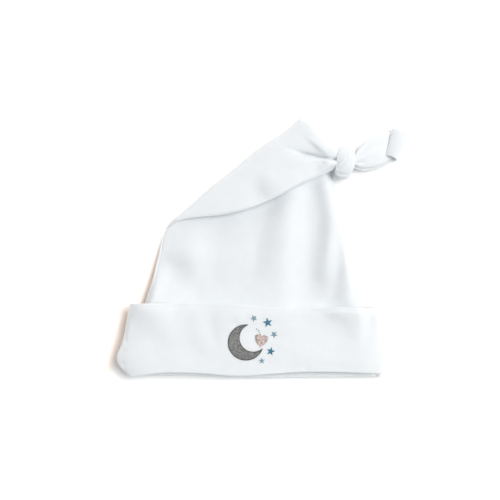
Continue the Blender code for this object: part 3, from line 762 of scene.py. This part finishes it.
def cuff_rings(levels, inset):
    """Closed rings of the cuff, one at each level along Y, inset from its outside."""
    levels = np.array(levels)
    ends = read(CUFF_ROWS, CUFF_ROWS["y"], levels)
    levels = levels[:, None]
    is_outside = inset <= 0.5 * CUFF_WALL
    tuck = inset + (0 if is_outside else SEAM_DEPTH)
    left = ends["left_back" if is_outside else "left_front"] + tuck
    length = ends["right"] - tuck - left
    halves = []
    for side, reaches in CUFF_REACHES.items():
        reaches = [np.full_like(length, reach) for reach in reaches]
        d, rise, near_edge = wall(length, reaches, CUFF_STEPS)
        x = left + d
        y = levels + hem_stray(x, levels, side) + top_stray(x, levels)
        full = CUFF_HEIGHT * lowered(d, length, inset, levels, CUFF_EDGE_DROPS)
        middle = CUFF_MIDDLE * full
        z = middle + ((full - inset if side == "front" else inset) - middle) * rise
        if is_outside:
            x = x + np.minimum(seam_groove(d, length, near_edge, z - middle), 0)
        if is_outside and side == "front":
            z = z - rolled_seam(d, CUFF_ROLLED + ends["left_front"] - ends["left_back"])
        if side == "front":
            dents = relief(CUFF_STROKES, x, y) + pucker(x, y) - waves(x, y)
            z = z - fade(near_edge, EDGE_ZONE) * dents
        halves.append(np.stack([x, y, np.maximum(z, 0)], axis=2))
    return closed(*halves)


def return_rings(levels, inset):
    """Closed rings of the cuff's short inner return, inset from the crown's outside."""
    places = np.interp(levels, CROWN_ROWS["left_y"], crown_places())
    return turn_over_fold(*crown_rings(places, inset, CUFF_STEPS))


def cuff():
    """The turned-up band, with a rolled top, a bottom fold and a return inside the crown."""
    blocks = [cuff_rings(np.linspace(*OUTER_LEVELS), 0)]
    for angle in np.linspace(0, math.pi, TOP_ROLL_STEPS)[1:-1]:
        level = CUFF_BEND_Y + (CUFF_TOP_Y - CUFF_BEND_Y) * math.sin(angle)
        inset = 0.5 * CUFF_WALL * (1 - math.cos(angle)) - CUFF_ROLL * math.sin(angle)
        blocks.append(cuff_rings([level], inset))
    return_out = CROWN_WALL + GAP
    return_in = return_out + RETURN_WALL
    turn = [HEM_INSIDE_Y]
    blocks += [cuff_rings(np.linspace(*INNER_LEVELS), CUFF_WALL),
               0.5 * (cuff_rings(turn, CUFF_WALL) + return_rings(turn, return_out)),
               return_rings(RETURN_OUT_LEVELS, return_out),
               return_rings(RETURN_IN_LEVELS, return_in)]
    for angle in np.linspace(math.pi, 0, HEM_ROLL_STEPS)[:-1]:
        level = [HEM_LINE - HEM_ROLL * math.sin(angle) ** HEM_POWER]
        share = 0.5 - 0.5 * math.copysign(abs(math.cos(angle)) ** HEM_POWER, math.cos(angle))
        blocks.append((1 - share) * cuff_rings(level, 0) + share * return_rings(level, return_in))
    rings = np.vstack(blocks)
    return tube_object("cuff_cloth", [(rings, cloth_map(rings))], ((0, -1), (0, 0)))


def polar(angle):
    """Unit vector at an angle in plan."""
    return np.array([math.cos(angle), math.sin(angle)])


def knot_band(across, up, low_lean, high_lean, top_width, side_width, thick):
    """One band of the knot, as rings along a closed loop round the neck."""
    along_tip = np.append(polar(KNOT_TURN), 0)
    across_tip = np.append(polar(KNOT_TURN + 0.5 * math.pi), 0)
    turn = np.linspace(0, TURN, BAND_STEPS, endpoint=False)[:, None]
    side = np.linspace(0, TURN, BAND_SIDES, endpoint=False)[None, :]
    sideways, upward = np.cos(turn), np.sin(turn)
    lean = np.where(sideways < 0, low_lean, high_lean) * np.abs(sideways) ** LEAN_POWER
    outward = np.stack([up * sideways, across * upward], axis=-1)
    outward = outward / np.linalg.norm(outward, axis=-1, keepdims=True)
    bulge = np.abs(np.sin(side)) ** BULGE_POWER * np.sign(np.sin(side))
    wide = 0.5 * (side_width + (top_width - side_width) * upward ** 2) * np.cos(side) + lean
    high = 0.5 * thick * bulge
    place_across = across * sideways + high * outward[..., 0]
    rings = KNOT_MIDDLE + wide[..., None] * along_tip + place_across[..., None] * across_tip
    rings[..., 2] += up * upward + high * outward[..., 1]
    facing = fade(bulge * outward[..., 1], FACING_ZONE)
    rings[..., 2] -= facing * relief(KNOT_STROKES, rings[..., 0], rings[..., 1])
    rings[..., 2] = np.maximum(rings[..., 2], 0)
    return rings


def knot():
    """The knot: a broad band wound round the neck over a narrower one."""
    points, faces, uv = [], [], []
    for place, band in enumerate(KNOT_BANDS.values()):
        rings = knot_band(*band)
        numbers = numbered(rings, place * BAND_STEPS * BAND_SIDES)
        looped = np.vstack([rings, rings[:1]])
        points.append(rings.reshape(-1, 3))
        faces += cells(np.vstack([numbers, numbers[:1]])).tolist()
        uv.append(cells(cloth_map(looped)).reshape(-1, 2))
    return new_piece("knot_cloth", np.vstack(points), faces, np.vstack(uv))


def tail_rings(path, outward, inset):
    """Closed rings of the tail on its chords, whose thickness leans over as its end rolls."""
    left, lean = path["left"], path["lean"]
    span = path["right"] - left
    full = np.linalg.norm(span, axis=1)[:, None]
    along = span / full
    tuck = inset + (SEAM_DEPTH if inset > 0 else 0)
    halves = []
    for is_top in (True, False):
        start = tuck + (TAIL_PEEK if is_top or inset > 0 else 0)
        length = full - start - tuck
        reach = np.minimum(TAIL_REACH, 0.5 * length)
        d, rise, near_edge = wall(length, (reach, reach), TAIL_STEPS)
        thin_edge = TAIL_EDGE_SHARE + (1 - TAIL_EDGE_SHARE) * np.sin(math.pi * d / length)
        half = (0.5 * path["thick"] - inset) * thin_edge
        high = np.where(is_top, half * rise, -half * rise)
        place = start + d
        if inset == 0:
            place = place + np.maximum(seam_groove(d, length, near_edge, high), 0)
        x = left[:, :1] + along[:, :1] * place
        y = left[:, 1:] + along[:, 1:] * place
        if is_top:
            flat = fade(near_edge, TAIL_EDGE_ZONE) * fade(lean[:, 1:], UPRIGHT_ZONE)
            high = high - flat * (relief(TAIL_STROKES, x, y) - 0.5 * waves(y, x))
        x = x + high * lean[:, :1] * outward[0]
        y = y + high * lean[:, :1] * outward[1]
        z = path["middle_z"] + high * lean[:, 1:]
        halves.append(np.stack([x, y, np.maximum(z, 0)], axis=2))
    return closed(*halves)


def tail_path():
    """The tail's chords, thickness, middle height and lean, and the direction in which it rolls."""
    flat, roll = spaced(TAIL_ROWS, TAIL_RINGS), spaced(ROLL_LINE, ROLL_RINGS + 1)
    roll = {name: values[1:] for name, values in roll.items()}
    left = np.hstack([flat["left_x"], flat["left_y"]])
    right = np.hstack([flat["right_x"], flat["right_y"]])
    along = (right[-1] - left[-1]) / np.linalg.norm(right[-1] - left[-1])
    outward = np.array([along[1], -along[0]])
    low, high = [np.where(roll["outward"] > 0, share, 1) * roll["outward"] * outward
                 for share in (ROLL_LOW_SHARE, ROLL_HIGH_SHARE)]
    step_out, step_up = [np.gradient(np.append(start, roll[name]))[1:] for start, name
                         in ((0, "outward"), (flat["middle_z"][-1], "up"))]
    lean = np.stack([-step_up, step_out], axis=1) / np.hypot(step_out, step_up)[:, None]
    return {
        "left": np.vstack([left, left[-1] + low + roll["draw_back"] * along]),
        "right": np.vstack([right, right[-1] + high]),
        "thick": np.vstack([flat["thick"], roll["thick"]]),
        "middle_z": np.vstack([flat["middle_z"], roll["up"]]),
        "lean": np.vstack([np.repeat([[0, 1]], TAIL_RINGS, axis=0), lean]),
    }, outward


def tail():
    """The tip's free end: a flat tube, open in the knot, whose end rolls up and over."""
    path, outward = tail_path()
    path["thick"][-len(TAIL_TIP):, 0] *= TAIL_TIP
    hollow = {name: values[TAIL_HOLLOW] for name, values in path.items()}
    grids = (tail_rings(path, outward, 0), tail_rings(hollow, outward, TAIL_WALL))
    skins = [(rings, cloth_map(rings)) for rings in grids]
    return tube_object("tail_cloth", skins, ((0, 0), (1, 0)), ((0, -1), (1, -1)))


def split_stitches(start, end, row):
    """A line of thread as stitches end to end, staggered from row to row."""
    run = end - start
    length = np.linalg.norm(run)
    if length < LONG_STITCH:
        return [(start, end)]
    first = LONG_STITCH * FIRST_MARKS[row % len(FIRST_MARKS)]
    marks = np.arange(first, length - LAST_STITCH, LONG_STITCH)
    marks = np.hstack([0, marks, length]) / length
    return [(start + run * a, start + run * b) for a, b in zip(marks, marks[1:])]


def moon_stitches():
    """Long stitches across the crescent, which point at the middle of its outer circle."""
    apart = MOON_CUT_CENTRE - MOON_CENTRE
    lines = []
    step = THREAD_SPACING / (FANNED_SHARE * MOON_RADIUS)
    for row, angle in enumerate(np.arange(0, TURN, step)):
        out = polar(angle)
        toward = out @ apart
        inner = toward + math.sqrt(toward ** 2 + MOON_CUT_RADIUS ** 2 - apart @ apart)
        if inner < MOON_RADIUS - SHORTEST_STITCH:
            lines += split_stitches(MOON_CENTRE + out * MOON_RADIUS, MOON_CENTRE + out * inner, row)
    return lines


def moon_outline():
    """Short stitches end to end round the crescent."""
    apart = MOON_CUT_CENTRE - MOON_CENTRE
    gap = math.hypot(*apart)
    facing = math.atan2(apart[1], apart[0])
    along = (gap ** 2 + MOON_RADIUS ** 2 - MOON_CUT_RADIUS ** 2) / (2 * gap)
    lines = []
    for middle, radius, reach in ((MOON_CENTRE, MOON_RADIUS, along),
                                  (MOON_CUT_CENTRE, MOON_CUT_RADIUS, along - gap)):
        half = math.acos(reach / radius)
        start, end = facing + half, facing + TURN - half
        angles = np.linspace(start, end, int(radius * (end - start) / OUTLINE_STITCH) + 1)
        over = OUTLINE_OVERLAP * (angles[1] - angles[0])
        lines += [[middle + (radius + shift) * polar(angle)
                   for angle, shift in ((a - over, OUTLINE_SHIFT), (b + over, -OUTLINE_SHIFT))]
                  for a, b in zip(angles, angles[1:])]
    return lines


def heart_stitches():
    """Stitches from the heart's sides down to its middle line."""
    lines = []
    axes = np.array((polar(HEART_TURN), polar(HEART_TURN + 0.5 * math.pi)))
    reaches = np.arange(0, HEART_TOP, HEART_STEP)[:, None] - HEART_OVERLAP
    step = THREAD_SPACING / math.cos(HEART_SLANT)
    for side in (-1, 1):
        out = side * polar(-side * HEART_SLANT)
        for shift in np.arange(HEART_BOTTOM, HEART_TOP, step):
            points = out * reaches - (0, shift)
            across, up = points.T / HEART_SIZE
            lobe = HEART_HEIGHT * (up + HEART_DROP) - HEART_NOTCH * np.sqrt(np.abs(across))
            held = np.flatnonzero(across ** 2 + lobe ** 2 < 1)
            if len(held) * HEART_STEP > HEART_SHORTEST:
                lines.append(HEART_CENTRE + points[held[[0, -1]]] @ axes)
    return lines


def star_stitches(stars):
    """Stitches across each of a star's five arms."""
    lines = []
    for x, y, radius, turn in stars:
        waist = STAR_WAIST * radius * polar(math.radians(0.5 * STAR_ANGLE))
        for arm in range(5):
            out = polar(math.radians(90 + turn + STAR_ANGLE * arm))
            across = np.array([-out[1], out[0]])
            for reach in np.arange(STAR_START * waist[0], radius - STAR_TIP, STAR_SPACING):
                taper = (radius - reach) / (radius - waist[0])
                wide = waist[1] * min(reach / waist[0], taper) + STAR_OVERLAP
                middle = (x, y) + out * reach
                lines.append((middle - across * wide, middle + across * wide))
    return lines


def running_stitches(points):
    """Short stitches with gaps, along a line of points."""
    points = np.array(points)
    runs = np.linalg.norm(np.diff(points, axis=0), axis=1)
    places = np.append(0, np.cumsum(runs))
    return [[np.array([np.interp(mark + reach, places, axis) for axis in points.T])
             for reach in (0, RUNNING_STITCH)] for mark in np.arange(0, places[-1], RUNNING_PITCH)]


def embroider(name, lines, surface, layer):
    """Stitches as fine tubes of thread that lie on the cloth and dive into it at both ends."""
    ends = np.array(lines)
    run = ends[:, 1] - ends[:, 0]
    length = np.linalg.norm(run, axis=1)[:, None]
    towards = run / length
    share = 0.5 - 0.5 * np.cos(np.linspace(0, math.pi, STITCH_STEPS))
    middle = ends[:, None, 0] + run[:, None] * share[None, :, None]
    ground = np.array([[surface(x, y) for x, y in stitch] for stitch in middle])
    ground = np.maximum(ground, np.linspace(ground[:, 0], ground[:, -1], STITCH_STEPS).T)
    arch = np.sin(math.pi * share)[None] ** 0.5
    height = ground + arch * (0.5 * THREAD_HEIGHT + THREAD_LIFT + layer) - (1 - arch) * STITCH_SINK
    full = (THREAD_END_SHARE + (1 - THREAD_END_SHARE) * arch)[..., None]
    turn = np.linspace(0, TURN, STITCH_SIDES, endpoint=False)
    sideways = 0.5 * THREAD_WIDTH * full * np.cos(turn)
    upward = 0.5 * THREAD_HEIGHT * full * np.sin(turn)
    x = middle[..., 0][..., None] - towards[:, 1][:, None, None] * sideways
    y = middle[..., 1][..., None] + towards[:, 0][:, None, None] * sideways
    points = np.stack([x, y, height[..., None] + upward], axis=-1)
    v = share[None, :, None] * length[:, :, None] + 0 * sideways
    flat = np.stack([np.broadcast_to(turn / TURN, v.shape), v], axis=-1).reshape(-1, 2)
    each = STITCH_STEPS * STITCH_SIDES
    first_ring = list(range(STITCH_SIDES))
    stitch = cells(numbered(points[0], 0)).tolist()
    stitch += [first_ring, [each - STITCH_SIDES + corner for corner in first_ring]]
    faces = [[k * each + corner for corner in face] for k in range(len(ends)) for face in stitch]
    return new_piece(name, points.reshape(-1, 3), faces, flat[np.concatenate(faces)])


def cloth_surface(piece):
    """How high a piece's upper side is at a plan point."""
    vertices = [vertex.co / MM for vertex in piece.data.vertices]
    tree = BVHTree.FromPolygons(vertices, [tuple(face.vertices) for face in piece.data.polygons])
    down = Vector((0, 0, -1))
    return lambda x, y: tree.ray_cast(Vector((x, y, HIGH_ABOVE)), down)[0].z


def fill(tree, node, inputs):
    """Give inputs of a node their values, or other nodes' outputs."""
    for name, value in inputs.items():
        if isinstance(value, bpy.types.NodeSocket):
            tree.links.new(value, node.inputs[name])
        else:
            node.inputs[name].default_value = value


def add_node(tree, kind, inputs, **settings):
    """Add a node, and return its outputs."""
    node = tree.nodes.new("ShaderNode" + kind)
    for name, value in settings.items():
        setattr(node, name, value)
    fill(tree, node, inputs)
    return node.outputs


def maths(tree, *operations):
    """A function for each of these operations of a Math node, on outputs or numbers."""
    def one(kind):
        return lambda *values: add_node(tree, "Math", dict(enumerate(values)), operation=kind)[0]
    return map(one, operations)


def noise(tree, place, name):
    """One of the named noises, times its share."""
    scale, detail, share = NOISES[name]
    times, = maths(tree, "MULTIPLY")
    look = {"Vector": place, "Scale": scale, "Detail": detail}
    return times(add_node(tree, "TexNoise", look)[0], share)


def cloth_place(tree):
    """The cloth map as a vector and as its two coordinates."""
    place = add_node(tree, "UVMap", {}, uv_map="cloth")[0]
    return place, *add_node(tree, "SeparateXYZ", {0: place})[:2]


def new_material(name, look):
    """A material with these inputs of its shader; returns its node tree and shader too."""
    material = bpy.data.materials.new(name)
    material.use_nodes = True
    tree = material.node_tree
    shader = tree.nodes["Principled BSDF"]
    fill(tree, shader, look)
    return material, tree, shader


def textured(tree, shader, height, depth, colour, dark, tone):
    """Raise the shader's surface by a height times a depth, and colour it between a darker tint and
    the colour itself, by a tone from 0 to 1."""
    relief_look = {"Strength": BUMP_STRENGTH, "Distance": depth * MM, "Height": height}
    bump = add_node(tree, "Bump", relief_look)
    darker = [dark * channel for channel in colour]
    mix = add_node(tree, "Mix", {0: tone, 6: (*darker, 1), 7: (*colour, 1)}, data_type="RGBA")
    fill(tree, shader, {"Normal": bump[0], "Base Color": mix[2]})


def cotton(name, colour):
    """White cotton interlock: fine upright ribs of small V stitches with a soft nap, a random
    mottle, and painted shade in the knit's grooves.
    """
    material, tree, shader = new_material(name, COTTON_LOOK)
    place, across, along = cloth_place(tree)
    add, times, zigzag, cosine = maths(tree, "ADD", "MULTIPLY", "PINGPONG", "COSINE")
    drift = noise(tree, place, "drift")
    rib = add(times(across, 1 / RIB_PITCH), drift)
    row = add(times(along, 1 / ROW_PITCH), add(zigzag(rib, 0.5), drift))
    ribs, rows = [times(cosine(times(line, TURN)), share)
                  for line, share in ((rib, RIB_SHARE), (row, ROW_SHARE))]
    height = add(add(ribs, rows), noise(tree, place, "nap"))
    # Random mottle, and painted shade that darkens the colour in the knit's grooves
    tone = add(noise(tree, place, "mottle"), times(height, GROOVE_SHADE))
    textured(tree, shader, height, KNIT_DEPTH, colour, COTTON_MOTTLE_AND_SHADE, tone)
    return material


def thread(name, colour):
    """Glossy embroidery thread, with painted shade between its twisted strands and painted sheen in
    spots.
    """
    material, tree, shader = new_material(name, {"Roughness": THREAD_ROUGHNESS})
    _, round_it, along = cloth_place(tree)
    add, times, cosine = maths(tree, "ADD", "MULTIPLY", "COSINE")
    turn = add(round_it, times(along, THREAD_TWIST))
    height = add(times(cosine(times(turn, STRANDS * TURN)), 0.5), 0.5)
    sheen = noise(tree, add_node(tree, "TexCoord", {})["Object"], "sheen")
    # Painted shade between the strands, and painted sheen in spots
    tone = add(times(height, GROOVE_SHADE), add(sheen, -SHEEN_FROM))
    textured(tree, shader, height, STRAND_DEPTH, colour, THREAD_SHADE, tone)
    return material


def side_share(tree, place, side):
    """A share that grows from 0 to 1 at one side of the hat."""
    times, = maths(tree, "MULTIPLY")
    share = 1
    for x, y, start, full in side:
        along = add_node(tree, "VectorMath", {0: place, 1: (x, y, 0)}, operation="DOT_PRODUCT")
        limits = {"Value": along["Value"], "From Min": start, "From Max": full}
        ramp = add_node(tree, "MapRange", limits, interpolation_type="SMOOTHSTEP")
        share = times(share, ramp["Result"])
    return share


def floor():
    """The pale surface that the hat lies on. It glows round the hat, painted light, and its colour
    is warm at its left, painted warm shade where the hat's shadow falls.
    """
    mesh = bpy.data.meshes.new("floor")
    half = 0.5 * FLOOR_WIDTH
    corners = ((-half, -half, 0), (half, -half, 0), (half, half, 0), (-half, half, 0))
    mesh.from_pydata(corners, [], [(0, 1, 2, 3)])
    material, tree, shader = new_material("white_floor", FLOOR_LOOK)
    place = add_node(tree, "TexCoord", {})["Object"]
    # Painted warm shade: the floor's colour turns warm at its left, where the hat's shadow falls
    shade_warmth = side_share(tree, place, WARM_SHADE_SIDE)
    shade_tint = add_node(tree, "Mix", {0: shade_warmth, 6: PALE_FLOOR, 7: WARM_SHADE_FLOOR}, data_type="RGBA")
    add, times, larger = maths(tree, "ADD", "MULTIPLY", "MAXIMUM")
    # Painted light: the floor glows round the hat, which washes out the hat's shadows there
    painted_flood = 0
    for side in PAINTED_LIGHT_SIDES.values():
        painted_flood = larger(painted_flood, side_share(tree, place, side))
    glow = add(times(painted_flood, PAINTED_FLOOD_LIGHT), FLOOR_GLOW)
    fill(tree, shader, {"Base Color": shade_tint[2], "Emission Strength": glow})
    mesh.materials.append(material)
    made = add_object("floor", mesh, (0, 0, -FLOOR_GAP))


def light():
    """A soft key from the right of the picture, a weak low light from above it, and a cool fill."""
    for name, (azimuth, elevation, power) in LAMPS.items():
        data = bpy.data.lights.new(name, "AREA")
        data.shape = "DISK"
        data.size = LAMP_SIZE
        data.energy = power
        data.color = LAMP_COLOUR
        flat, up = polar(math.radians(elevation))
        place = Vector((*polar(math.radians(azimuth)) * flat, up)) * LAMP_DISTANCE
        made = add_object(name, data, place)
        made.rotation_euler = place.to_track_quat("Z", "Y").to_euler()
    world = bpy.data.worlds.new("studio")
    world.use_nodes = True
    fill(world.node_tree, world.node_tree.nodes["Background"], FILL_LIGHT)
    bpy.context.scene.world = world
    view = bpy.context.scene.view_settings
    view.view_transform = "Standard"
    view.look = "None"
    view.exposure = 0
    view.gamma = 1


def camera():
    """The camera looks straight down, as the photograph does."""
    data = bpy.data.cameras.new("camera")
    data.lens = LENS
    data.sensor_width = SENSOR
    data.clip_end = FARTHEST
    height = VIEW_WIDTH * LENS / SENSOR + 0.5 * CUFF_HEIGHT
    bpy.context.scene.camera = add_object("camera", data, Vector((*VIEW_CENTRE, height)) * MM)


def dress(piece, node, material):
    """Put a finished piece in the place of its solid."""
    piece.data.materials.append(material)
    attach(piece, "root")
    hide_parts(node)
    return piece


crown_cloth = dress(crown(), "crown", cotton("crown_interlock", WHITE))
cuff_cloth = dress(cuff(), "cuff", cotton("cuff_interlock", DOUBLED_WHITE))
knot_cloth = dress(knot(), "knot", cotton("knot_interlock", WHITE))
tail_cloth = dress(tail(), "tail", cotton("tail_interlock", WHITE))

cuff_height = cloth_surface(cuff_cloth)
STITCHES = {
    "moon_fill": (moon_stitches(), "grey_thread", 0),
    "moon_outline": (moon_outline(), "dark_thread", OUTLINE_LAYER),
    "hanging_line": (running_stitches(HANGING_LINE), "dark_thread", 0),
    "heart": (heart_stitches(), "pink_thread", 0),
    "blue_stars": (star_stitches(BLUE_STARS), "blue_thread", 0),
    "pale_stars": (star_stitches(PALE_STARS), "pale_blue_thread", 0),
}
threads = {slot: thread(slot, colour) for slot, colour in THREAD_COLOURS.items()}
embroidery = [dress(embroider(name, lines, cuff_height, layer), "cuff", threads[slot])
              for name, (lines, slot, layer) in STITCHES.items()]

floor()
light()
camera()
